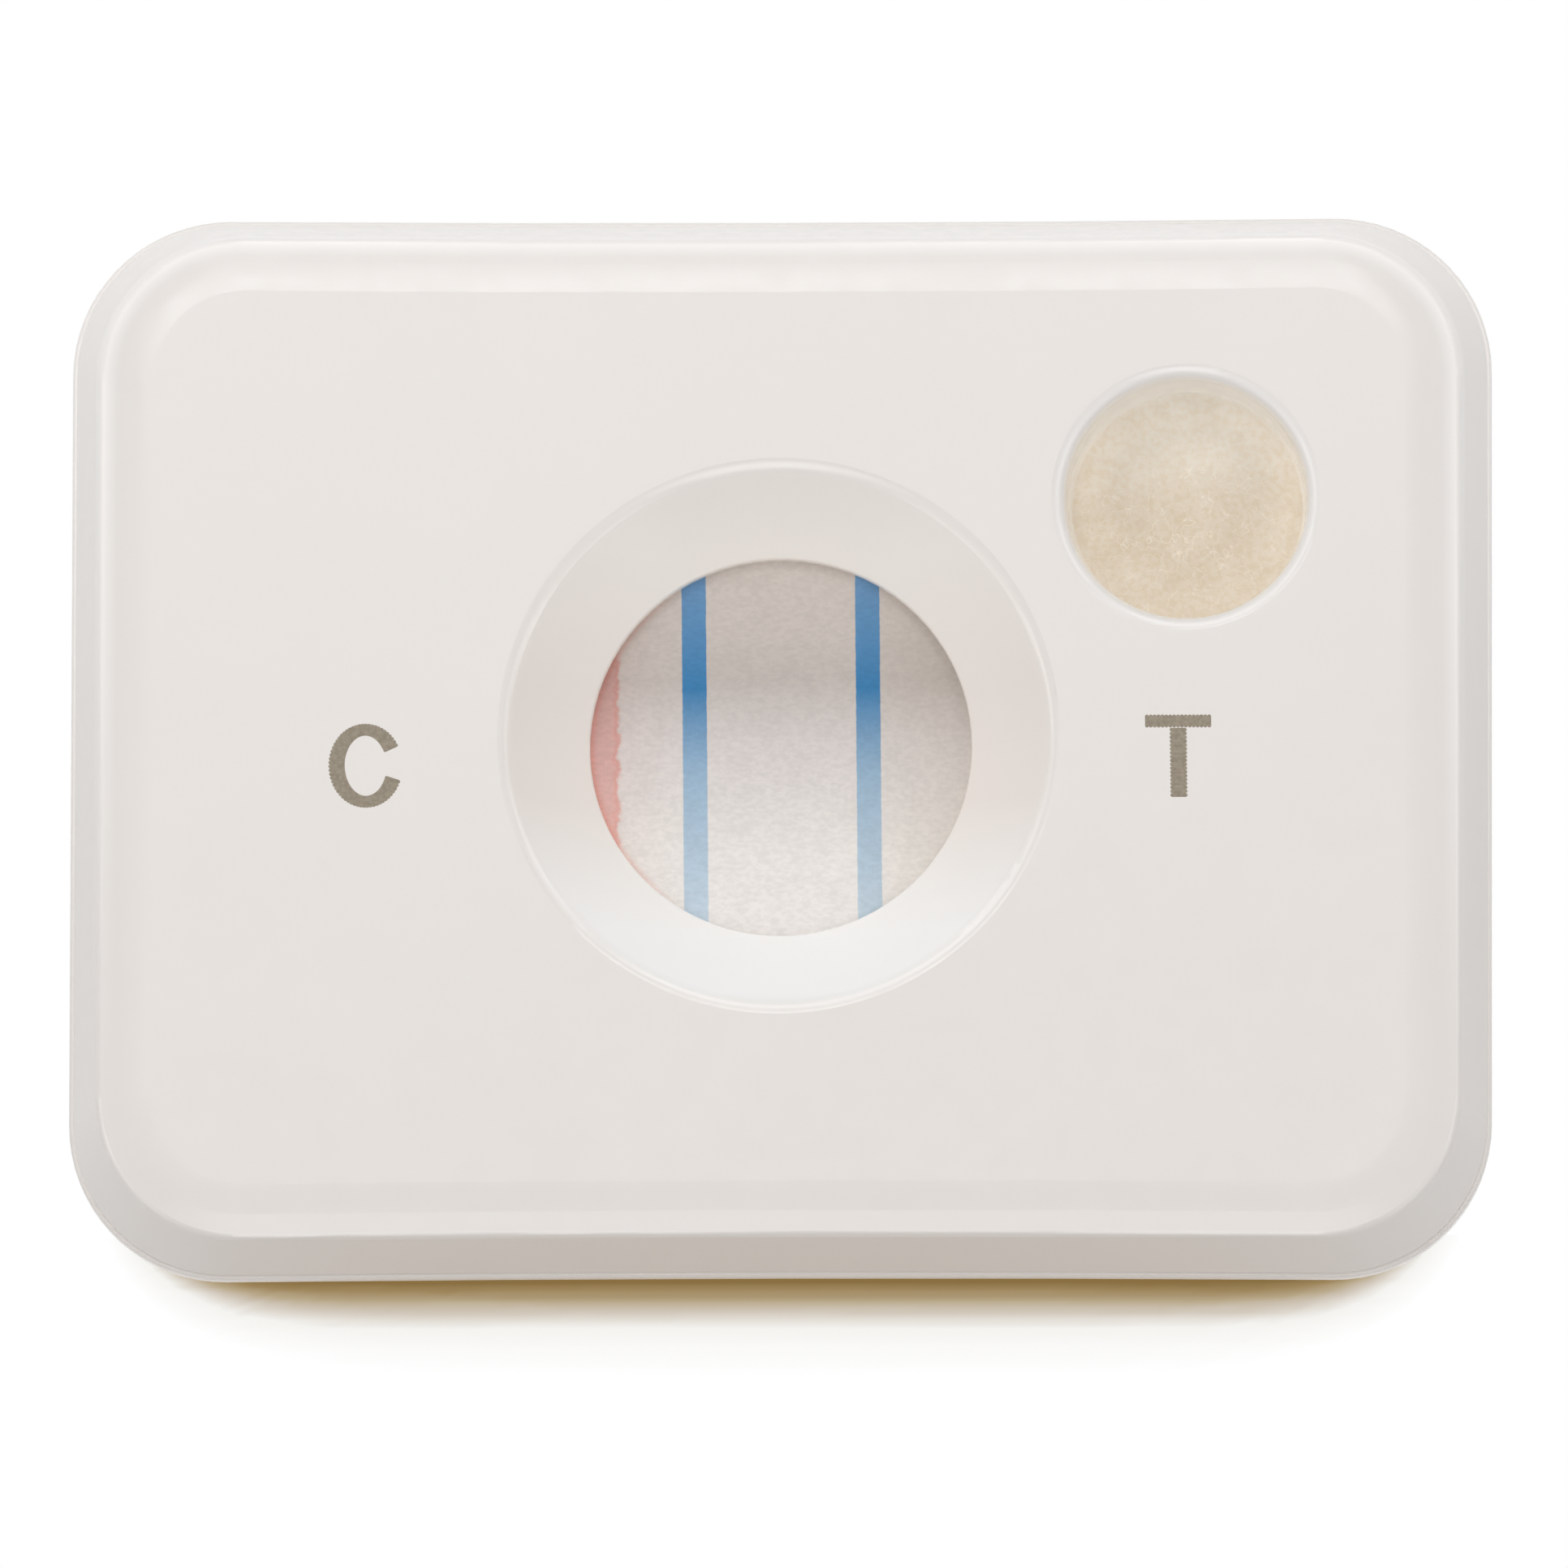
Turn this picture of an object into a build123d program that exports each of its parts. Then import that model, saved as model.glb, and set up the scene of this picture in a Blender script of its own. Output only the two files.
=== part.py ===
"""Lateral flow cassette: two moulded housing halves around a membrane test strip.

Sample goes into the small round well, soaks through the filter pad into the membrane, passes the capture
lines under the round window and is drawn on into the absorbent pad. Wash and substrate go into the dish.

Frame, in millimetres: the origin is the centre of the underside, X runs along the housing towards the
sample well, Y runs to the back edge and Z is up.
"""

import os
from math import atan2, radians, sin, tan

from build123d import *

os.makedirs("parts", exist_ok=True)

# Housing, measured round the rim of the base, where the two halves meet
LENGTH = 50.8
WIDTH = 38.5
CORNER_RADIUS = 5.6
SIDE_BOW = 0.15  # how far moulding shrinkage draws in the middle of each long side
PARTING_HEIGHT = 4.2
COVER_HEIGHT = 2.8  # parting plane to the flat face

# Cover, outside
SKIRT_INSET = 0.12  # ledge of the base's rim that shows outside the cover
EDGE_INSET = 1.1  # from the rim to the edge of the top
EDGE_CORNER_RADIUS = 5.1
EDGE_ROUND = 0.3
BORDER_WIDTH = 1.4  # gently falling border round the flat face
BORDER_DROP = 0.25
BORDER_ROUND = 6.0
SKIRT_CHAMFER = 0.12

# Cover, walls
COVER_WALL = 1.3
COVER_PLATE = 1.2

# Reaction dish, centred on the housing
WINDOW_RADIUS = 6.82
WINDOW_LIP = 0.35  # straight height of the window's edge
WINDOW_ROUND = 0.15
DISH_RADIUS = 9.8
DISH_DEPTH = 2.9  # flat face to membrane
DISH_WALL = 1.0
DISH_ROUND = 0.7

# Sample well
WELL_SHIFT = -1.82  # towards the dish, from midway between the dish and the border
WELL_FROM_BACK = 10.65
WELL_RADIUS = 4.35  # at the face
WELL_DRAFT = 3.0  # degrees
WELL_WALL = 0.7
WELL_ROUND = 0.5

# Base
RIM_HEIGHT = 0.5  # upright band at the top of the base wall
RIM_CHAMFER = 0.08
BASE_LEAN = 0.9  # lean of the base wall, from the rim band to the bottom chamfer
BASE_CHAMFER = 0.5
FLOOR = 1.2
LIP_HEIGHT = 0.7
LIP_THICKNESS = 0.6
LIP_CLEARANCE = 0.08

# Pins on the cover and their sockets in the base, two along each long side
PIN_RADIUS = 0.7
PIN_SPACING = 32.0
PIN_TIP_CHAMFER = 0.2
PIN_END_CLEARANCE = 0.3
PIN_CLEARANCE = 0.05
SOCKET_WALL = 0.7
SOCKET_ROOT = 0.25  # how far a socket runs into the wall beside it
SOCKET_BELOW_PARTING = 0.5

# Test strip
STRIP_CLEARANCE = 0.2
CARD_THICKNESS = 0.25
MEMBRANE_THICKNESS = 0.2
FILTER_THICKNESS = 0.6
ABSORBENT_THICKNESS = 1.6
PAD_OVERLAP = 1.8  # of each pad over its end of the membrane
PAD_CLEARANCE = 0.3  # between a pad and the dish

# Supports and stops in the base, pressure bars in the cover
RIB_THICKNESS = 0.8
RIB_COUNT = 5
RIB_MARGIN = 1.5
STOP_REACH = 2.9
STOP_THICKNESS = 1.0
STOP_SPACING = 14.0
STOP_RISE = 0.5
BAR_THICKNESS = 0.9
BAR_MARGIN = 1.2

# Modelling aids
CUT_OVERRUN = 1.0  # how far a cut runs past the face that it opens
TOLERANCE = 0.001  # for picking edges by their height or radius

# Heights that follow from the stack
TOP = PARTING_HEIGHT + COVER_HEIGHT
EDGE_HEIGHT = TOP - BORDER_DROP
PLATE_UNDERSIDE = TOP - COVER_PLATE
MEMBRANE_TOP = TOP - DISH_DEPTH
CARD_TOP = MEMBRANE_TOP - MEMBRANE_THICKNESS
CARD_BOTTOM = CARD_TOP - CARD_THICKNESS
FILTER_TOP = CARD_TOP + FILTER_THICKNESS
ABSORBENT_TOP = CARD_TOP + ABSORBENT_THICKNESS
LIP_TOP = PARTING_HEIGHT + LIP_HEIGHT
SOCKET_TOP = PARTING_HEIGHT - SOCKET_BELOW_PARTING

# Insets from the rim that follow from the walls
SKIRT_CORNER_RADIUS = CORNER_RADIUS - SKIRT_INSET
WALL_RISE = EDGE_HEIGHT - PARTING_HEIGHT
WALL_LEAN = (EDGE_INSET - SKIRT_INSET) / WALL_RISE
CORNER_LEAN = (SKIRT_CORNER_RADIUS - EDGE_CORNER_RADIUS) / WALL_RISE
LIP_OFFSET = COVER_WALL + LIP_CLEARANCE
BASE_INNER_INSET = SKIRT_INSET + LIP_OFFSET + WALL_LEAN * LIP_HEIGHT + LIP_THICKNESS
INNER_HALF_LENGTH = LENGTH / 2 - BASE_INNER_INSET
INNER_HALF_WIDTH = WIDTH / 2 - SIDE_BOW - BASE_INNER_INSET

# Dish: its cone, and the radius of its underside at a height
DISH_SLOPE = (DISH_DEPTH - WINDOW_LIP) / (DISH_RADIUS - WINDOW_RADIUS)
DISH_ANGLE = atan2(DISH_DEPTH - WINDOW_LIP, DISH_RADIUS - WINDOW_RADIUS)
CONE_BOTTOM = MEMBRANE_TOP + WINDOW_LIP


def dish_underside_radius(height):
    return WINDOW_RADIUS + DISH_WALL / sin(DISH_ANGLE) + (height - CONE_BOTTOM) / DISH_SLOPE


# Places that follow from the housing
FACE_HALF_LENGTH = LENGTH / 2 - EDGE_INSET - BORDER_WIDTH
WELL_X = (DISH_RADIUS + FACE_HALF_LENGTH) / 2 + WELL_SHIFT
WELL_Y = WIDTH / 2 - WELL_FROM_BACK
WELL_FLOOR_RADIUS = WELL_RADIUS - (TOP - FILTER_TOP) * tan(radians(WELL_DRAFT))
WELL_RIM_RADIUS = WELL_FLOOR_RADIUS + WELL_WALL
BORE_RADIUS = PIN_RADIUS + PIN_CLEARANCE
SOCKET_RADIUS = BORE_RADIUS + SOCKET_WALL
PIN_Y = INNER_HALF_WIDTH + SOCKET_ROOT - SOCKET_RADIUS
STRIP_HALF_LENGTH = INNER_HALF_LENGTH - STOP_REACH - STRIP_CLEARANCE
STRIP_HALF_WIDTH = PIN_Y - SOCKET_RADIUS - STRIP_CLEARANCE
FILTER_INNER = dish_underside_radius(FILTER_TOP) + PAD_CLEARANCE
ABSORBENT_INNER = dish_underside_radius(ABSORBENT_TOP) + PAD_CLEARANCE
MEMBRANE_RIGHT = FILTER_INNER + PAD_OVERLAP
MEMBRANE_LEFT = -ABSORBENT_INNER - PAD_OVERLAP


def housing_section(height, inset, corner_radius):
    """Rounded rectangle, set in from the rim, whose long sides bow slightly inwards."""
    half_x = LENGTH / 2 - inset
    half_y = WIDTH / 2 - inset
    with BuildSketch(Plane.XY.offset(height), mode=Mode.PRIVATE) as section:
        with BuildLine():
            Line((half_x, -half_y), (half_x, half_y))
            ThreePointArc((half_x, half_y), (0, half_y - SIDE_BOW), (-half_x, half_y))
            Line((-half_x, half_y), (-half_x, -half_y))
            ThreePointArc((-half_x, -half_y), (0, SIDE_BOW - half_y), (half_x, -half_y))
        make_face()
        fillet(section.vertices(), corner_radius)
    return section.sketch


def edges_at(part, height):
    return part.edges().filter_by_position(Axis.Z, height - TOLERANCE, height + TOLERANCE)


def circles_at(part, height, radius):
    circles = edges_at(part, height).filter_by(GeomType.CIRCLE)
    return circles.filter_by(lambda edge: abs(edge.radius - radius) < TOLERANCE)


def wall_section(height, offset):
    """Section that runs parallel to the outside of the cover's wall, offset inwards from it."""
    rise = height - PARTING_HEIGHT
    inset = SKIRT_INSET + offset + WALL_LEAN * rise
    corner_radius = SKIRT_CORNER_RADIUS - offset - CORNER_LEAN * rise
    return housing_section(height, inset, corner_radius)


def base_section(height, inset):
    return housing_section(height, inset, CORNER_RADIUS - inset)


# Upper half: crowned face, leaning wall, dish, well, pins and pressure bars
with BuildPart() as top_cover:
    loft(
        [
            wall_section(PARTING_HEIGHT, SKIRT_CHAMFER),
            wall_section(PARTING_HEIGHT + SKIRT_CHAMFER, 0),
            wall_section(EDGE_HEIGHT, 0),
            housing_section(TOP, EDGE_INSET + BORDER_WIDTH, EDGE_CORNER_RADIUS - BORDER_WIDTH),
        ],
        ruled=True,
    )
    fillet(edges_at(top_cover, TOP), BORDER_ROUND)
    fillet(edges_at(top_cover, EDGE_HEIGHT), EDGE_ROUND)
    loft(
        [
            wall_section(PARTING_HEIGHT, COVER_WALL),
            wall_section(PLATE_UNDERSIDE, COVER_WALL),
        ],
        ruled=True,
        mode=Mode.SUBTRACT,
    )

    # Funnel under the dish, down to the rim that clamps the membrane
    with BuildSketch(Plane.XZ):
        with BuildLine():
            Polyline(
                (0, MEMBRANE_TOP),
                (dish_underside_radius(MEMBRANE_TOP), MEMBRANE_TOP),
                (dish_underside_radius(PLATE_UNDERSIDE), PLATE_UNDERSIDE),
                (0, PLATE_UNDERSIDE),
                close=True,
            )
        make_face()
    revolve(axis=Axis.Z)

    # Tube under the well, down to the filter pad
    with BuildSketch(Plane.XY.offset(FILTER_TOP)):
        with Locations((WELL_X, WELL_Y)):
            Circle(WELL_RIM_RADIUS)
    extrude(amount=PLATE_UNDERSIDE - FILTER_TOP, taper=-WELL_DRAFT)

    # Pressure bars: over the absorbent pad's joint, over its far end, and over the filter pad
    bar_half_length = STRIP_HALF_WIDTH - BAR_MARGIN
    with BuildSketch(Plane.XY.offset(ABSORBENT_TOP)):
        with Locations(
            (-ABSORBENT_INNER - PAD_OVERLAP / 2, 0),
            (-STRIP_HALF_LENGTH + BAR_MARGIN, 0),
        ):
            Rectangle(BAR_THICKNESS, 2 * bar_half_length)
    extrude(amount=PLATE_UNDERSIDE - ABSORBENT_TOP)
    filter_bar_end = WELL_Y - WELL_RIM_RADIUS - BAR_MARGIN
    with BuildSketch(Plane.XY.offset(FILTER_TOP)):
        with Locations((WELL_X, (filter_bar_end - bar_half_length) / 2)):
            Rectangle(BAR_THICKNESS, filter_bar_end + bar_half_length)
    extrude(amount=PLATE_UNDERSIDE - FILTER_TOP)

    # Pins
    with BuildSketch(Plane.XY.offset(PLATE_UNDERSIDE)):
        with GridLocations(PIN_SPACING, 2 * PIN_Y, 2, 2):
            Circle(PIN_RADIUS)
    extrude(amount=FLOOR + PIN_END_CLEARANCE - PLATE_UNDERSIDE)
    chamfer(edges_at(top_cover, FLOOR + PIN_END_CLEARANCE), PIN_TIP_CHAMFER)

    # Dish and window
    with BuildSketch(Plane.XZ):
        with BuildLine():
            Polyline(
                (0, MEMBRANE_TOP - CUT_OVERRUN),
                (WINDOW_RADIUS, MEMBRANE_TOP - CUT_OVERRUN),
                (WINDOW_RADIUS, CONE_BOTTOM),
                (DISH_RADIUS, TOP),
                (DISH_RADIUS, TOP + CUT_OVERRUN),
                (0, TOP + CUT_OVERRUN),
                close=True,
            )
        make_face()
    revolve(axis=Axis.Z, mode=Mode.SUBTRACT)

    # Well
    with BuildSketch(Plane.XY.offset(TOP)):
        with Locations((WELL_X, WELL_Y)):
            Circle(WELL_RADIUS)
    extrude(amount=-(TOP - FILTER_TOP), taper=WELL_DRAFT, mode=Mode.SUBTRACT)

    fillet(circles_at(top_cover, CONE_BOTTOM, WINDOW_RADIUS), WINDOW_ROUND)
    fillet(circles_at(top_cover, TOP, DISH_RADIUS), DISH_ROUND)
    fillet(circles_at(top_cover, TOP, WELL_RADIUS), WELL_ROUND)

top_cover.part.label = "top_cover"
export_step(top_cover.part, "parts/top_cover.step")


# Lower half: tapered tray with a locating lip, strip supports, stops and sockets
with BuildPart() as base_tray:
    loft(
        [
            base_section(0, BASE_LEAN + BASE_CHAMFER),
            base_section(BASE_CHAMFER, BASE_LEAN),
            base_section(PARTING_HEIGHT - RIM_HEIGHT, 0),
            base_section(PARTING_HEIGHT - RIM_CHAMFER, 0),
            base_section(PARTING_HEIGHT, RIM_CHAMFER),
        ],
        ruled=True,
    )
    loft([wall_section(PARTING_HEIGHT, LIP_OFFSET), wall_section(LIP_TOP, LIP_OFFSET)], ruled=True)
    extrude(base_section(FLOOR, BASE_INNER_INSET), amount=LIP_TOP - FLOOR, mode=Mode.SUBTRACT)

    # Ribs and rings that carry the strip
    rib_pitch = 2 * (STRIP_HALF_WIDTH - RIB_MARGIN) / (RIB_COUNT - 1)
    with BuildSketch(Plane.XY.offset(FLOOR)):
        with GridLocations(0, rib_pitch, 1, RIB_COUNT):
            Rectangle(2 * STRIP_HALF_LENGTH, RIB_THICKNESS)
        Circle(dish_underside_radius(MEMBRANE_TOP))
        with Locations((WELL_X, WELL_Y)):
            Circle(WELL_RIM_RADIUS)
        Circle(WINDOW_RADIUS, mode=Mode.SUBTRACT)
        with Locations((WELL_X, WELL_Y)):
            Circle(WELL_FLOOR_RADIUS, mode=Mode.SUBTRACT)
        with GridLocations(0, rib_pitch, 1, RIB_COUNT):
            Rectangle(2 * STRIP_HALF_LENGTH, RIB_THICKNESS)
    extrude(amount=CARD_BOTTOM - FLOOR)

    # Stops at both ends of the strip
    with BuildSketch(Plane.XY.offset(FLOOR)):
        with GridLocations(2 * INNER_HALF_LENGTH - STOP_REACH, STOP_SPACING, 2, 2):
            Rectangle(STOP_REACH, STOP_THICKNESS)
    extrude(amount=CARD_TOP + STOP_RISE - FLOOR)

    # Sockets, which also guide the strip's long sides
    with BuildSketch(Plane.XY.offset(FLOOR)):
        with GridLocations(PIN_SPACING, 2 * PIN_Y, 2, 2):
            Circle(SOCKET_RADIUS)
    extrude(amount=SOCKET_TOP - FLOOR)
    with BuildSketch(Plane.XY.offset(FLOOR)):
        with GridLocations(PIN_SPACING, 2 * PIN_Y, 2, 2):
            Circle(BORE_RADIUS)
    extrude(amount=SOCKET_TOP - FLOOR, mode=Mode.SUBTRACT)

base_tray.part.label = "base_tray"
export_step(base_tray.part, "parts/base_tray.step")


# Plastic card under the whole strip
with BuildPart() as backing_card:
    with BuildSketch(Plane.XY.offset(CARD_BOTTOM)):
        Rectangle(2 * STRIP_HALF_LENGTH, 2 * STRIP_HALF_WIDTH)
    extrude(amount=CARD_THICKNESS)

backing_card.part.label = "backing_card"
export_step(backing_card.part, "parts/backing_card.step")


# Membrane, between the two pads
with BuildPart() as membrane:
    with BuildSketch(Plane.XY.offset(CARD_TOP)):
        with Locations(((MEMBRANE_LEFT + MEMBRANE_RIGHT) / 2, 0)):
            Rectangle(MEMBRANE_RIGHT - MEMBRANE_LEFT, 2 * STRIP_HALF_WIDTH)
    extrude(amount=MEMBRANE_THICKNESS)

membrane.part.label = "membrane"
export_step(membrane.part, "parts/membrane.step")


def pad_profile(inner, joint_end, outer, top):
    """Section of a pad along the strip: it steps down from the membrane onto the card."""
    with BuildSketch(Plane.XZ, mode=Mode.PRIVATE) as profile:
        with BuildLine():
            Polyline(
                (inner, MEMBRANE_TOP),
                (joint_end, MEMBRANE_TOP),
                (joint_end, CARD_TOP),
                (outer, CARD_TOP),
                (outer, top),
                (inner, top),
                close=True,
            )
        make_face()
    return profile.sketch


# Filter pad under the well, which feeds the membrane
with BuildPart() as filter_pad:
    extrude(
        pad_profile(FILTER_INNER, MEMBRANE_RIGHT, STRIP_HALF_LENGTH, FILTER_TOP),
        amount=STRIP_HALF_WIDTH,
        both=True,
    )

filter_pad.part.label = "filter_pad"
export_step(filter_pad.part, "parts/filter_pad.step")


# Absorbent pad, which draws the liquid on
with BuildPart() as absorbent_pad:
    extrude(
        pad_profile(-ABSORBENT_INNER, MEMBRANE_LEFT, -STRIP_HALF_LENGTH, ABSORBENT_TOP),
        amount=STRIP_HALF_WIDTH,
        both=True,
    )

absorbent_pad.part.label = "absorbent_pad"
export_step(absorbent_pad.part, "parts/absorbent_pad.step")
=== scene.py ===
"""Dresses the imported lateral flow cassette: materials, marks, studio and camera.

Lengths are written in millimetres and turned into metres where Blender needs them. The frame is the part's
own: the origin is the centre of the underside, X runs to the sample well, Y to the back and Z up. Colours are
linear. A list of stops gives the colours at some places, and they change evenly between them.
"""

from math import cos, pi, radians, sin, sqrt, tan

import bmesh
import bpy
from mathutils import Matrix, Vector
from mathutils.bvhtree import BVHTree


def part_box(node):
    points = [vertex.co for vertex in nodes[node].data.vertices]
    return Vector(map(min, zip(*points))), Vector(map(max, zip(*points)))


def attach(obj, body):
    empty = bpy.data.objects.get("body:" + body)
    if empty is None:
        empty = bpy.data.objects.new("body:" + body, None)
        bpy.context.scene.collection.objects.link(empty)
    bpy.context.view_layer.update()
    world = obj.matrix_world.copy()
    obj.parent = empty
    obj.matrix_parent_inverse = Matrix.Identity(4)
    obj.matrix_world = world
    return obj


MM = 0.001

# Camera, at the photograph's viewing angle
PHOTO_PIXELS = 1932
PIXELS_PER_MM = 34.48
CAMERA_TARGET = (0.11, -1.29, 4.2)
CAMERA_TILT_FRONT = 9.5  # degrees from straight above
CAMERA_TILT_RIGHT = 1.8
CAMERA_ROLL = 0.15
CAMERA_DISTANCE = 1500.0
CAMERA_CLIP = 10 * CAMERA_DISTANCE
SENSOR = 36.0

# Studio light
SKY_LEVELS = (0.22, 0.08)  # at the horizon and straight above
LAMP_DISTANCE = 900.0
SOFT_BOXES = {  # degrees clockwise from the back, from straight above, and to each side; then the radiance
    "top_box": {"azimuth": -10, "near": 12, "far": 24, "spread": 10, "radiance": 4.0},
    "high_box": {"azimuth": -5, "near": 25, "far": 36, "spread": 7, "radiance": 0.6},
    "back_box": {"azimuth": -6, "near": 36, "far": 62, "spread": 24, "radiance": 2.3},
    "back_left_box": {"azimuth": -52, "near": 40, "far": 60, "spread": 12, "radiance": 1.9},
    "back_right_box": {"azimuth": 52, "near": 40, "far": 60, "spread": 12, "radiance": 1.9},
    "left_box": {"azimuth": -90, "near": 42, "far": 58, "spread": 12, "radiance": 2.2},
    "right_box": {"azimuth": 90, "near": 42, "far": 58, "spread": 12, "radiance": 1.9},
    "front_box": {"azimuth": 180, "near": 12, "far": 50, "spread": 13, "radiance": 2.4},
    "front_left_box": {"azimuth": -120, "near": 50, "far": 68, "spread": 22, "radiance": 1.3},
    "front_right_box": {"azimuth": 122, "near": 50, "far": 68, "spread": 22, "radiance": 1.4},
}

# Floor
FLOOR_SIZE = 6000.0
FLOOR_TONES = [  # from front to back, as the floor lights the cassette
    (-45.0, (0.50, 0.36, 0.16)),
    (-24.0, (0.46, 0.22, 0.0)),
    (-8.0, (0.55, 0.55, 0.55)),
    (8.0, (0.60, 0.60, 0.60)),
    (20.0, (0.95, 0.95, 0.95)),
]
FLOOR_SIDES = (15.0, 24.0)  # distances from the middle between which these tones give way to the next
FLOOR_SIDE_TONES = [
    (-14.0, (0.95, 0.95, 0.95)),
    (-4.0, (0.66, 0.66, 0.66)),
    (8.0, (0.66, 0.66, 0.66)),
    (20.0, (0.95, 0.95, 0.95)),
]
SHADOW_LEAN = 45  # degrees from straight above to the back, where the shading light comes from
SHADOW_RAYS = 400
SHADOW_ACROSS = (-29.0, 29.0, 0.5)  # first, last and pitch of the floor's points that may be shaded
SHADOW_AHEAD = (-25.0, -17.0, 0.2)
SHADOW_TONES = [  # by the share of that light that gets past the cassette
    (0.12, (0.25, 0.16, 0.055)),
    (0.155, (0.34, 0.235, 0.105)),
    (0.195, (0.48, 0.39, 0.25)),
    (0.23, (0.61, 0.54, 0.45)),
    (0.31, (0.905, 0.895, 0.87)),
    (0.45, (1.0, 1.0, 1.0)),
]

# Marks, drawn by a beam that sweeps across each stroke
MARK_LEAN = 0.75  # degrees by which upright strokes lean to the left
MARK_PITCH = 0.139
BEAD_WIDTH = 0.153
BEAD_STEPS = 6  # in each half round
MARK_HEIGHT = 0.012
MARK_SINK = 0.004
BEAD_RINGS = [(1.0, -MARK_SINK), (0.7, 0.7 * MARK_HEIGHT), (0.3, MARK_HEIGHT)]  # share of the width, height
MARK_TINTS = ((0.335, 0.285, 0.215), (0.25, 0.21, 0.155))
C_CENTRE = (-14.74, -1.06)
C_RADII = (1.035, 1.305)  # of the middle of the stroke, across and upright
C_STROKES = (0.61, 0.46)  # stroke widths at the side and at the top
C_ENDS = (30, 337)  # degrees
T_CENTRE = (14.27, -0.79)
T_BAR = (2.36, 0.49)  # width and height
T_STEM = (0.63, 2.55)

# Values of a noise
MOST = (0.3, 0.7)  # range that holds most of them
NOISE_MIDDLE = 0.5

# Plastic of the housing, with painted light that makes it paler at its walls and edges, in the dish and in
# the well, and painted shade beside the window
HOUSING_TINTS = ((0.83, 0.79, 0.758), (0.81, 0.765, 0.73))
HOUSING_ROUGHNESS = (0.19, 0.26)
# Painted light: walls and edges are made paler, more so towards the back
EDGE_PAINTED_LIGHT_TINT = (0.96, 0.93, 0.905)
EDGE_PAINTED_LIGHT_SHARES = [(6.2, 0.65), (6.5, 1.0), (6.78, 1.0), (6.86, 0.2), (7.0, 0.0)]  # of that tint, by height
EDGE_PAINTED_LIGHT_REACH = (-17.0, 14.0)  # from front to back, between which that share grows from none to all of it
WINDOW_RADIUS = 6.82
DISH_RIM = 10.1
DISH_BLEND = 0.7  # width of the ring in which the dish's tint fades into the face's
# Painted light and shade: the dish's slopes made paler, darker and warmer beside the window
DISH_PAINTED_LIGHT_TINTS = [  # from front to back
    (-DISH_RIM, (0.94, 0.92, 0.90)),
    (-9.2, (0.99, 0.985, 0.975)),
    (-WINDOW_RADIUS, (0.98, 0.97, 0.955)),
    (-2.0, (0.88, 0.815, 0.765)),
    (2.0, (0.88, 0.815, 0.765)),
    (WINDOW_RADIUS, (0.97, 0.915, 0.86)),
    (DISH_RIM, (0.96, 0.91, 0.86)),
]
WELL_CENTRE = (14.53, 8.6)
WELL_RADIUS = 4.35
WELL_RIM = 4.85
WELL_RIM_BLEND = 0.3
# Painted light on the well's rim and wall, which lie in shade
WELL_RIM_PAINTED_LIGHT_TINTS = [  # from front to back
    (WELL_CENTRE[1] - WELL_RIM, (0.89, 0.865, 0.84)),
    (WELL_CENTRE[1] + WELL_RIM, (0.92, 0.89, 0.87)),
]
WELL_WALL_BLEND = 0.08
WELL_WALL_PAINTED_LIGHT_TINT = (0.97, 0.94, 0.90)

# Membrane
# Painted shade makes the sheet grey at the back, a painted sheen makes it whiter in front
SHEET_SHADE_AND_SHEEN_TONES = [  # from front to back
    (-6.8, (0.885, 0.84, 0.81)),
    (-4.0, (0.87, 0.83, 0.79)),
    (0.1, (0.715, 0.66, 0.635)),
    (2.5, (0.545, 0.49, 0.455)),
    (6.8, (0.65, 0.58, 0.53)),
]
# Painted shade along the window's right side
SHEET_RIGHT_SHADE_PLACES = (1.5, 6.2)  # between which the sheet turns greyer
SHEET_RIGHT_SHADE_TINT = (0.90, 0.88, 0.85)
SHEET_FIBRE_TINT = (0.91, 0.91, 0.91)
SHEET_CLOUD_TINT = (0.97, 0.97, 0.97)
LINE_PLACES = (-3.08, 3.13)
LINE_WIDTH = 0.87
LINE_TURN = 0.65  # degrees
LINE_BLUR = 0.02  # to each side of a line's edge
LINE_WAVER = 0.008  # of that edge, to each side
LINE_WAVER_LEVELS = (0.2, 0.8)  # of the noise that moves it
# The lines' own blue, deepened at the back by painted shade and paled in front by painted sheen
LINE_SHADE_AND_SHEEN_TONES = [  # from front to back
    (-6.8, (0.61, 0.71, 0.79)),
    (-1.2, (0.35, 0.50, 0.65)),
    (2.2, (0.03, 0.19, 0.41)),
    (6.8, (0.16, 0.31, 0.51)),
]

# Dye that has crept into the membrane from the left. Its depths are measured from its edge to the left
STAIN_EDGE = -5.83
STAIN_STRAY = 0.11  # of its ragged edge, to each side
STAIN_STRAY_LEVELS = (0.25, 0.75)  # of the noise that moves it
STAIN_DEPTHS = (-0.16, 0.10)
STAIN_TINT = (0.96, 0.66, 0.63)
WASH_PLACES = (-5.8, -3.4)  # between which a faint wash ahead of the edge fades out
WASH_SHARE = 0.5
WASH_TINT = (1.0, 0.92, 0.91)
TIDE_RISE = (-0.05, 0.03)
TIDE_FALL = (0.04, 0.24)
TIDE_SHARE = 0.6
STAIN_RIM = (0.28, 0.02)  # distances from the window's edge between which a redder rim sets in
STAIN_RIM_PLACES = (-5.6, -3.2)  # between which that rim fades out
STAIN_RIM_SHARE = 0.7
REDDER_TINT = (1.0, 0.74, 0.68)

# Filter pad, as far as it shows in the well
# Painted light makes the pad paler to the back
PAD_TONES_WITH_PAINTED_LIGHT = [  # from front to back
    (4.4, (0.75, 0.655, 0.53)),
    (8.6, (0.74, 0.65, 0.53)),
    (11.6, (0.97, 0.91, 0.82)),
    (12.8, (0.99, 0.95, 0.88)),
]
PAD_RADIUS = 4.22
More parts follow.
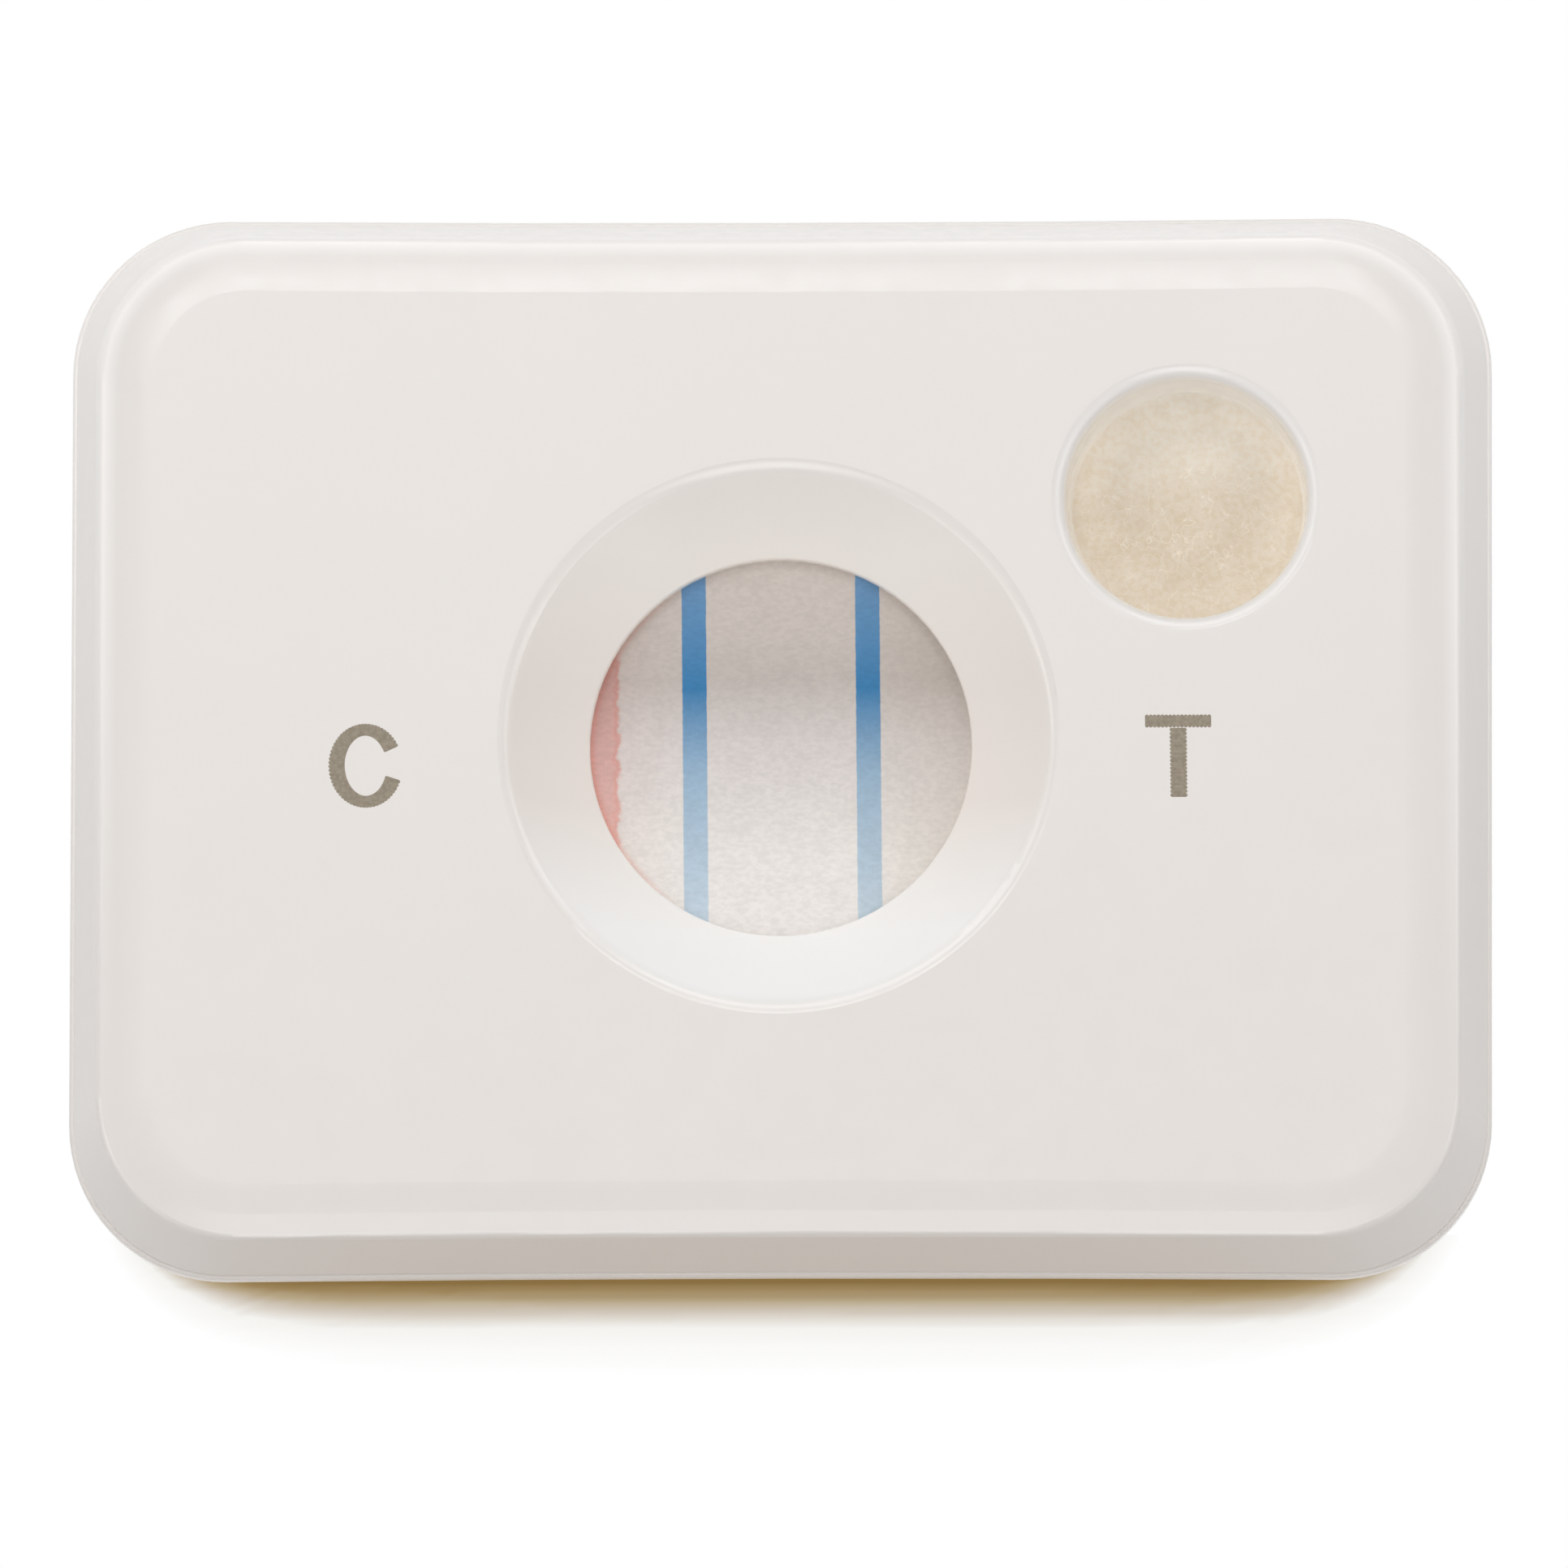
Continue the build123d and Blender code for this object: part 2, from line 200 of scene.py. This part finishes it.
# Painted light: the pad gets paler towards the well's wall, where it lies in shade
PAD_MIDDLE = 1.5  # radius beyond which the pad gets paler
PAD_PAINTED_LIGHT_SHARE = 0.5
PAD_PAINTED_LIGHT_TINT = (0.96, 0.875, 0.755)
PAD_CLOUD_TINT = (0.95, 0.935, 0.91)
SPECK_LEVELS = (0.4, 0.65)
SPECK_SHARE = 0.42
SPECK_TINT = (0.92, 0.85, 0.73)
FIBRE_CELLS = (1.0, 1.6)  # of the two noises along whose middle level fibres run
FIBRE_LEVELS = (0.002, 0.008)  # distances from that level between which a fibre ends
FIBRE_SHARE = 0.35
FIBRE_TINT = (0.95, 0.89, 0.79)
PAD_RIM_PAINTED_LIGHT = (0.14, 0.05)  # distances from the well's wall between which a painted light line sets in on the pad
PAD_RIM_PAINTED_LIGHT_SHARE = 0.7
PAD_RIM_PAINTED_LIGHT_TINT = (0.97, 0.91, 0.82)

# Pieces inside the housing
ABSORBENT_TINTS = ((0.84, 0.82, 0.77), (0.76, 0.74, 0.69))
CARD_TINTS = ((0.84, 0.84, 0.82), (0.80, 0.80, 0.78))
CARD_ROUGHNESS = (0.4, 0.5)

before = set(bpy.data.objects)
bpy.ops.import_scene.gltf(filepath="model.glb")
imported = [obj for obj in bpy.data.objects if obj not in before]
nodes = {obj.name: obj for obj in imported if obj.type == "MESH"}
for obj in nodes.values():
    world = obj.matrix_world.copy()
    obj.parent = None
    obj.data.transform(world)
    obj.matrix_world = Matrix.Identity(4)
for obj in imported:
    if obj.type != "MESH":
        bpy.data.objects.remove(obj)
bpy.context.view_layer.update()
face_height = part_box("top_cover")[1].z / MM


class Shader:
    """One node material, with short calls that add nodes and link them. Places are in millimetres."""

    def __init__(self, name):
        self.material = bpy.data.materials.new(name)
        self.material.use_nodes = True
        self.tree = self.material.node_tree
        self.surface = self.tree.nodes["Principled BSDF"]
        scaled = self.node("ShaderNodeVectorMath", operation="SCALE")
        self.feed(scaled.inputs[0], self.node("ShaderNodeTexCoord").outputs["Object"])
        scaled.inputs["Scale"].default_value = 1 / MM
        self.place = scaled.outputs[0]
        split = self.node("ShaderNodeSeparateXYZ")
        self.feed(split.inputs[0], self.place)
        self.x, self.y, self.z = split.outputs

    def node(self, kind, **settings):
        """Adds a node with some of its settings."""
        made = self.tree.nodes.new(kind)
        for name, value in settings.items():
            setattr(made, name, value)
        return made

    def feed(self, socket, value):
        """Links an output to a socket, or sets the socket to a plain value."""
        if isinstance(value, bpy.types.NodeSocket):
            self.tree.links.new(value, socket)
        else:
            socket.default_value = value

    def set(self, **values):
        """Feeds the surface's sockets; underscores stand for the spaces in their names."""
        for name, value in values.items():
            self.feed(self.surface.inputs[name.replace("_", " ")], value)

    def math(self, operation, *values):
        """Result of one sum on numbers or outputs."""
        made = self.node("ShaderNodeMath", operation=operation)
        for socket, value in zip(made.inputs, values):
            self.feed(socket, value)
        return made.outputs[0]

    def reach(self, centre):
        """Distance from an upright axis."""
        flat = self.node("ShaderNodeCombineXYZ")
        self.feed(flat.inputs["X"], self.x)
        self.feed(flat.inputs["Y"], self.y)
        apart = self.node("ShaderNodeVectorMath", operation="DISTANCE")
        self.feed(apart.inputs[0], flat.outputs[0])
        apart.inputs[1].default_value = (*centre, 0)
        return apart.outputs["Value"]

    def noise(self, cells, stretch=(1, 1, 1), detail=2.0):
        """Noise from 0 to 1 with so many cells to the millimetre."""
        stretched = self.node("ShaderNodeVectorMath", operation="MULTIPLY")
        self.feed(stretched.inputs[0], self.place)
        stretched.inputs[1].default_value = stretch
        made = self.node("ShaderNodeTexNoise")
        self.feed(made.inputs["Vector"], stretched.outputs[0])
        made.inputs["Scale"].default_value = cells
        made.inputs["Detail"].default_value = detail
        return made.outputs[0]

    def fit(self, value, low, high, to_low=0.0, to_high=1.0, smooth=True):
        """Maps low..high to another range, clamped, with eased ends unless it isn't smooth."""
        made = self.node("ShaderNodeMapRange", interpolation_type="SMOOTHSTEP" if smooth else "LINEAR")
        for socket, part in zip(made.inputs, (value, low, high, to_low, to_high)):
            self.feed(socket, part)
        return made.outputs[0]

    def mix(self, share, first, second, blend="MIX"):
        """First colour with a share of the second."""
        made = self.node("ShaderNodeMix", data_type="RGBA", blend_type=blend)
        self.feed(made.inputs[0], share)
        for socket, colour in zip((made.inputs[6], made.inputs[7]), (first, second)):
            self.feed(socket, colour if isinstance(colour, bpy.types.NodeSocket) else (*colour, 1))
        return made.outputs[2]

    def dye(self, share, colour, tint):
        """Colour multiplied by a share of a tint."""
        return self.mix(share, colour, tint, blend="MULTIPLY")

    def gradient(self, value, stops):
        """Colour that changes with a value through (value, colour) stops."""
        low = stops[0][0]
        high = stops[-1][0]
        made = self.node("ShaderNodeValToRGB")
        self.feed(made.inputs[0], self.fit(value, low, high, smooth=False))
        shares = [(place - low) / (high - low) for place, _ in stops]
        for share in shares[1:-1]:
            made.color_ramp.elements.new(share)
        for stop, (_, colour) in zip(made.color_ramp.elements, stops):
            stop.color = (*colour, 1)
        return made.outputs[0]

    def bump(self, height, depth):
        """Relief on the surface, so many millimetres deep."""
        made = self.node("ShaderNodeBump")
        self.feed(made.inputs["Height"], height)
        made.inputs["Distance"].default_value = depth * MM
        made.inputs["Strength"].default_value = 1.0
        self.set(Normal=made.outputs[0])


def housing_plastic():
    """White polystyrene with a soft moulded gloss, and painted light that makes it paler at its edges and in
    the dish and the well, with painted shade beside the window.
    """
    shader = Shader("housing_plastic")
    tint = shader.mix(shader.noise(cells=0.08), *HOUSING_TINTS)
    # Painted light on the walls and edges, growing from front to back
    by_height = shader.gradient(shader.z, [(height, (share, share, share)) for height, share in EDGE_PAINTED_LIGHT_SHARES])
    painted_edge_light = shader.math("MULTIPLY", by_height, shader.fit(shader.y, *EDGE_PAINTED_LIGHT_REACH))
    tint = shader.mix(painted_edge_light, tint, EDGE_PAINTED_LIGHT_TINT)
    # Painted light and shade in the dish
    in_dish = shader.fit(shader.reach((0, 0)), DISH_RIM - DISH_BLEND, DISH_RIM, 1, 0)
    tint = shader.mix(in_dish, tint, shader.gradient(shader.y, DISH_PAINTED_LIGHT_TINTS))
    # Painted light on the well's rim and wall
    from_well = shader.reach(WELL_CENTRE)
    on_rim = shader.fit(from_well, WELL_RIM - WELL_RIM_BLEND, WELL_RIM, 1, 0)
    tint = shader.mix(on_rim, tint, shader.gradient(shader.y, WELL_RIM_PAINTED_LIGHT_TINTS))
    in_well = shader.fit(from_well, WELL_RADIUS, WELL_RADIUS + WELL_WALL_BLEND, 1, 0)
    tint = shader.mix(in_well, tint, WELL_WALL_PAINTED_LIGHT_TINT)
    roughness = shader.fit(shader.noise(cells=1.2), *MOST, *HOUSING_ROUGHNESS)
    shader.set(Base_Color=tint, Roughness=roughness, IOR=1.59)
    shader.bump(shader.noise(cells=2.5, detail=3), depth=0.001)
    return shader.material


def membrane_sheet():
    """Damp porous sheet with lines and a stain: painted shade makes it grey at the back, and a painted sheen
    makes it whiter in front.
    """
    shader = Shader("membrane_sheet")
    # Painted shade at the back, painted sheen in front
    sheet = shader.gradient(shader.y, SHEET_SHADE_AND_SHEEN_TONES)

    # The lines carry the same painted shade and sheen
    line_colour = shader.gradient(shader.y, LINE_SHADE_AND_SHEEN_TONES)
    along = shader.math("MULTIPLY_ADD", shader.y, tan(radians(LINE_TURN)), shader.x)
    waver = shader.fit(shader.noise(cells=4), *LINE_WAVER_LEVELS, -LINE_WAVER, LINE_WAVER)
    for place in LINE_PLACES:
        off_centre = shader.math("ABSOLUTE", shader.math("SUBTRACT", along, place))
        distance = shader.math("ADD", off_centre, waver)
        inside = shader.fit(distance, LINE_WIDTH / 2 - LINE_BLUR, LINE_WIDTH / 2 + LINE_BLUR, 1, 0)
        sheet = shader.mix(inside, sheet, line_colour)
    # Painted shade, greyer towards the window's right edge
    sheet = shader.dye(shader.fit(shader.x, *SHEET_RIGHT_SHADE_PLACES), sheet, SHEET_RIGHT_SHADE_TINT)

    # The stain: a wash, the stain itself, and a redder tide mark along its edge and rim along the window
    sheet = shader.dye(shader.fit(shader.x, *WASH_PLACES, WASH_SHARE, 0), sheet, WASH_TINT)
    rough = shader.noise(cells=2.2, detail=5)
    ragged = shader.fit(rough, *STAIN_STRAY_LEVELS, -STAIN_STRAY, STAIN_STRAY)
    depth = shader.math("SUBTRACT", shader.math("ADD", STAIN_EDGE, ragged), shader.x)
    sheet = shader.dye(shader.fit(depth, *STAIN_DEPTHS), sheet, STAIN_TINT)
    tide = shader.math("MULTIPLY", shader.fit(depth, *TIDE_RISE), shader.fit(depth, *TIDE_FALL, 1, 0))
    rim = shader.fit(shader.reach((0, 0)), *(WINDOW_RADIUS - distance for distance in STAIN_RIM))
    rim = shader.math("MULTIPLY", rim, shader.fit(shader.x, *STAIN_RIM_PLACES, 1, 0))
    redder = shader.math(
        "MAXIMUM",
        shader.math("MULTIPLY", tide, TIDE_SHARE),
        shader.math("MULTIPLY", rim, STAIN_RIM_SHARE),
    )
    sheet = shader.dye(redder, sheet, REDDER_TINT)

    fibres = shader.noise(cells=6, stretch=(0.7, 1.2, 1), detail=4)
    sheet = shader.dye(shader.fit(fibres, *MOST), sheet, SHEET_FIBRE_TINT)
    sheet = shader.dye(shader.fit(shader.noise(cells=1.3, detail=3), *MOST), sheet, SHEET_CLOUD_TINT)
    shader.set(Base_Color=sheet, Roughness=0.6, IOR=1.4)
    shader.bump(fibres, depth=0.02)
    return shader.material


def filter_fibre():
    """Cream felt of glass and cellulose fibres with tan specks, with painted light that makes it paler to the
    back and to its rim.
    """
    shader = Shader("filter_fibre")
    from_middle = shader.reach(WELL_CENTRE)
    # Painted light: paler to the back
    colour = shader.gradient(shader.y, PAD_TONES_WITH_PAINTED_LIGHT)
    # Painted light: paler towards the rim
    paler = shader.fit(from_middle, PAD_MIDDLE, PAD_RADIUS, 0, PAD_PAINTED_LIGHT_SHARE)
    colour = shader.mix(paler, colour, PAD_PAINTED_LIGHT_TINT)
    cloud = shader.fit(shader.noise(cells=0.9, detail=4), *MOST)
    colour = shader.dye(cloud, colour, PAD_CLOUD_TINT)
    specks = shader.fit(shader.noise(cells=4.5, detail=3), *SPECK_LEVELS, 0, SPECK_SHARE)
    colour = shader.dye(specks, colour, SPECK_TINT)
    for cells in FIBRE_CELLS:
        off_middle = shader.math("ABSOLUTE", shader.math("SUBTRACT", shader.noise(cells), NOISE_MIDDLE))
        colour = shader.mix(shader.fit(off_middle, *FIBRE_LEVELS, FIBRE_SHARE, 0), colour, FIBRE_TINT)
    # Painted light line along the well's wall
    edge = shader.fit(from_middle, *(PAD_RADIUS - distance for distance in PAD_RIM_PAINTED_LIGHT), 0, PAD_RIM_PAINTED_LIGHT_SHARE)
    colour = shader.mix(edge, colour, PAD_RIM_PAINTED_LIGHT_TINT)
    shader.set(Base_Color=colour, Roughness=0.9, IOR=1.45)
    shader.bump(shader.noise(cells=6, detail=5), depth=0.02)
    return shader.material


def absorbent_fibre():
    """White pressed cotton pad."""
    shader = Shader("absorbent_fibre")
    felt = shader.noise(cells=4, detail=4)
    shader.set(Base_Color=shader.mix(felt, *ABSORBENT_TINTS), Roughness=0.95)
    shader.bump(felt, depth=0.06)
    return shader.material


def card_plastic():
    """Thin white plastic card with a faint calendered grain."""
    shader = Shader("card_plastic")
    grain = shader.noise(cells=3, stretch=(0.2, 1, 1), detail=3)
    roughness = shader.fit(grain, *MOST, *CARD_ROUGHNESS)
    shader.set(Base_Color=shader.mix(grain, *CARD_TINTS), Roughness=roughness)
    shader.bump(grain, depth=0.003)
    return shader.material


def mark_grey():
    """Plastic browned to a warm grey by the marking beam."""
    shader = Shader("mark_grey")
    mottle = shader.noise(cells=6, detail=3)
    shader.set(Base_Color=shader.mix(shader.fit(mottle, *MOST), *MARK_TINTS), Roughness=0.6, IOR=1.5)
    shader.bump(mottle, depth=0.004)
    return shader.material


def add_bead(mesh, centre, across, length):
    """Low rounded bead left by one sweep of the beam across a stroke."""
    across = Vector(across).normalized()
    along = Vector((-across.y, across.x))
    straight = max(length - BEAD_WIDTH, 0) / 2
    rings = []
    for share, height in BEAD_RINGS:
        radius = share * BEAD_WIDTH / 2
        ring = []
        for end in (1, -1):
            for step in range(BEAD_STEPS + 1):
                angle = pi * step / BEAD_STEPS - pi / 2
                reach = end * (straight + radius * cos(angle))
                side = end * radius * sin(angle)
                point = Vector(centre) + reach * across + side * along
                ring.append(mesh.verts.new((point.x * MM, point.y * MM, (face_height + height) * MM)))
        rings.append(ring)
    for outer, inner in zip(rings, rings[1:]):
        for number in range(len(outer)):
            following = (number + 1) % len(outer)
            mesh.faces.new((outer[number], outer[following], inner[following], inner[number]))
    mesh.faces.new(rings[-1])


def add_mark(name, beads, material):
    """One mark, from beads given as (centre, direction across the stroke, stroke width)."""
    mesh = bmesh.new()
    for centre, across, length in beads:
        add_bead(mesh, centre, across, length)
    data = bpy.data.meshes.new(name)
    mesh.to_mesh(data)
    mesh.free()
    data.shade_smooth()
    data.materials.append(material)
    mark = bpy.data.objects.new(name, data)
    bpy.context.scene.collection.objects.link(mark)
    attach(mark, "root")
    return mark


def leaning(centre, offset):
    """Point of a mark, which leans about the mark's centre."""
    return Vector(centre) + Vector((offset[0] - offset[1] * tan(radians(MARK_LEAN)), offset[1]))


def beads_of_c():
    """Beads along an ellipse, about a pitch apart on the outside of the stroke."""
    start, end = (radians(angle) for angle in C_ENDS)
    count = round((end - start) * (sum(C_RADII) + C_STROKES[0]) / 2 / MARK_PITCH)
    beads = []
    for number in range(count + 1):
        angle = start + (end - start) * number / count
        spot = Vector((C_RADII[0] * cos(angle), C_RADII[1] * sin(angle)))
        across = Vector((cos(angle) / C_RADII[0], sin(angle) / C_RADII[1])).normalized()
        width = C_STROKES[0] * across.x**2 + C_STROKES[1] * across.y**2
        beads.append((leaning(C_CENTRE, spot), leaning((0, 0), across), width))
    return beads


def beads_of_t():
    """Upright beads along the bar, then level ones down the stem below it."""
    bar_height = T_STEM[1] / 2
    beads = []
    count = round(T_BAR[0] / MARK_PITCH)
    for number in range(count):
        x = (number - (count - 1) / 2) * MARK_PITCH
        beads.append((leaning(T_CENTRE, (x, bar_height)), leaning((0, 0), (0, 1)), T_BAR[1]))
    count = round(T_STEM[1] / MARK_PITCH)
    for number in range(count):
        y = bar_height - T_BAR[1] / 2 - (number + 0.5) * MARK_PITCH
        beads.append((leaning(T_CENTRE, (0, y)), leaning((0, 0), (1, 0)), T_STEM[0]))
    return beads


def seen_rays(tree):
    """1 for rays that show a surface itself, in the picture or mirrored, and 0 for rays that light others."""
    path = tree.nodes.new("ShaderNodeLightPath")
    seen = path.outputs["Is Camera Ray"]
    for ray in ("Is Glossy Ray", "Is Transmission Ray"):
        both = tree.nodes.new("ShaderNodeMath")
        both.operation = "MAXIMUM"
        tree.links.new(seen, both.inputs[0])
        tree.links.new(path.outputs[ray], both.inputs[1])
        seen = both.outputs[0]
    return seen


def shading_rays():
    """Directions to the shading light, spread evenly by the cosine about its middle."""
    turn = Matrix.Rotation(-radians(SHADOW_LEAN), 3, "X")
    golden_angle = pi * (3 - sqrt(5))
    rays = []
    for number in range(SHADOW_RAYS):
        share = (number + 0.5) / SHADOW_RAYS
        angle = number * golden_angle
        ray = turn @ Vector((sqrt(share) * cos(angle), sqrt(share) * sin(angle), sqrt(1 - share)))
        if ray.z > 0:
            rays.append(ray)
    return rays


def places(first, last, pitch):
    """Even places from first to last and one beyond each end, between two at the floor's edges."""
    count = round((last - first) / pitch)
    inner = [first + pitch * number for number in range(-1, count + 2)]
    return [-FLOOR_SIZE / 2, *inner, FLOOR_SIZE / 2]


def floor_mesh():
    """Flat grid, fine where it may be shaded, with the share of the shading light that reaches each point."""
    across = places(*SHADOW_ACROSS)
    ahead = places(*SHADOW_AHEAD)
    depsgraph = bpy.context.evaluated_depsgraph_get()
    halves = [BVHTree.FromObject(nodes[name], depsgraph) for name in ("base_tray", "top_cover")]
    rays = shading_rays()
    points = []
    shares = []
    for y in ahead:
        for x in across:
            point = Vector((x, y, 0)) * MM
            passed = len(rays)
            if x in across[2:-2] and y in ahead[2:-2]:
                passed = sum(all(half.ray_cast(point, ray)[0] is None for half in halves) for ray in rays)
            points.append(point)
            shares.append(passed / len(rays))
    width = len(across)
    corners = [row * width + column for row in range(len(ahead) - 1) for column in range(width - 1)]
    data = bpy.data.meshes.new("floor")
    data.from_pydata(points, [], [(at, at + 1, at + width + 1, at + width) for at in corners])
    data.attributes.new("open_share", "FLOAT", "POINT").data.foreach_set("value", shares)
    return data


def floor_white():
    """White that keeps the cassette's shadow where it is seen, and lights the cassette in quieter tones."""
    shader = Shader("floor_white")
    tree = shader.tree
    tree.nodes.remove(shader.surface)
    share = shader.node("ShaderNodeAttribute", attribute_name="open_share")
    seen = shader.node("ShaderNodeEmission")
    shader.feed(seen.inputs["Color"], shader.gradient(share.outputs["Fac"], SHADOW_TONES))
    lit = shader.node("ShaderNodeBsdfDiffuse")
    beside = shader.fit(shader.math("ABSOLUTE", shader.x), *FLOOR_SIDES)
    middle_tone = shader.gradient(shader.y, FLOOR_TONES)
    side_tone = shader.gradient(shader.y, FLOOR_SIDE_TONES)
    shader.feed(lit.inputs["Color"], shader.mix(beside, middle_tone, side_tone))
    chosen = shader.node("ShaderNodeMixShader")
    for socket, value in zip(chosen.inputs, (seen_rays(tree), lit.outputs[0], seen.outputs[0])):
        shader.feed(socket, value)
    shader.feed(tree.nodes["Material Output"].inputs["Surface"], chosen.outputs[0])
    return shader.material


def add_floor():
    """Floor with the cassette's shadow, brown close under the front wall and soon white again."""
    data = floor_mesh()
    data.materials.append(floor_white())
    floor = bpy.data.objects.new("floor", data)
    bpy.context.scene.collection.objects.link(floor)


def add_world():
    """White surroundings that light more from the sides than from above, seen as white."""
    world = bpy.data.worlds.new("studio")
    world.use_nodes = True
    tree = world.node_tree
    tree.nodes.clear()
    split = tree.nodes.new("ShaderNodeSeparateXYZ")
    tree.links.new(tree.nodes.new("ShaderNodeTexCoord").outputs["Generated"], split.inputs[0])
    level = tree.nodes.new("ShaderNodeMapRange")
    tree.links.new(split.outputs["Z"], level.inputs["Value"])
    level.inputs["To Min"].default_value, level.inputs["To Max"].default_value = SKY_LEVELS
    lit = tree.nodes.new("ShaderNodeBackground")
    tree.links.new(level.outputs[0], lit.inputs["Strength"])
    seen = tree.nodes.new("ShaderNodeBackground")
    for background in (lit, seen):
        background.inputs["Color"].default_value = (1, 1, 1, 1)
    chosen = tree.nodes.new("ShaderNodeMixShader")
    tree.links.new(seen_rays(tree), chosen.inputs[0])
    tree.links.new(lit.outputs[0], chosen.inputs[1])
    tree.links.new(seen.outputs[0], chosen.inputs[2])
    output = tree.nodes.new("ShaderNodeOutputWorld")
    tree.links.new(chosen.outputs[0], output.inputs["Surface"])
    bpy.context.scene.world = world


def add_soft_box(name, azimuth, near, far, spread, radiance):
    """Rectangular lamp between two angles from straight above, turned clockwise from the back."""
    middle = radians((near + far) / 2)
    turn = radians(azimuth)
    direction = Vector((sin(middle) * sin(turn), sin(middle) * cos(turn), cos(middle)))
    lamp = bpy.data.lights.new(name, "AREA")
    lamp.shape = "RECTANGLE"
    lamp.size = 2 * LAMP_DISTANCE * tan(radians(spread)) * MM
    lamp.size_y = 2 * LAMP_DISTANCE * tan(radians(far - near) / 2) * MM
    lamp.energy = radiance * pi * lamp.size * lamp.size_y
    box = bpy.data.objects.new(name, lamp)
    aim = direction.to_track_quat("Z", "Y").to_matrix().to_4x4()
    box.matrix_world = Matrix.Translation(direction * LAMP_DISTANCE * MM) @ aim
    box.visible_camera = False
    bpy.context.scene.collection.objects.link(box)


def facing(direction):
    """Rotation of a camera that looks against a direction, with its top towards the back."""
    x_axis = Vector((0, 1, 0)).cross(direction).normalized()
    y_axis = direction.cross(x_axis)
    return Matrix((x_axis, y_axis, direction)).transposed().to_4x4()


def add_camera():
    """Camera above the cassette, a little to the front and to the right."""
    direction = Vector((tan(radians(CAMERA_TILT_RIGHT)), -tan(radians(CAMERA_TILT_FRONT)), 1)).normalized()
    data = bpy.data.cameras.new("camera")
    data.sensor_width = SENSOR
    data.lens = SENSOR * CAMERA_DISTANCE * PIXELS_PER_MM / PHOTO_PIXELS
    data.clip_end = CAMERA_CLIP * MM
    camera = bpy.data.objects.new("camera", data)
    place = Matrix.Translation((Vector(CAMERA_TARGET) + direction * CAMERA_DISTANCE) * MM)
    camera.matrix_world = place @ facing(direction) @ Matrix.Rotation(radians(CAMERA_ROLL), 4, "Z")
    bpy.context.scene.collection.objects.link(camera)
    bpy.context.scene.camera = camera


def give(node, material):
    """Dresses a CAD node in one material."""
    nodes[node].data.materials.clear()
    nodes[node].data.materials.append(material)


plastic = housing_plastic()
give("top_cover", plastic)
give("base_tray", plastic)
give("membrane", membrane_sheet())
give("filter_pad", filter_fibre())
give("absorbent_pad", absorbent_fibre())
give("backing_card", card_plastic())

grey = mark_grey()
for mark in (add_mark("mark_c", beads_of_c(), grey), add_mark("mark_t", beads_of_t(), grey)):
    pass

add_floor()
add_world()
for name, settings in SOFT_BOXES.items():
    add_soft_box(name, **settings)
add_camera()
bpy.context.scene.view_settings.view_transform = "Standard"
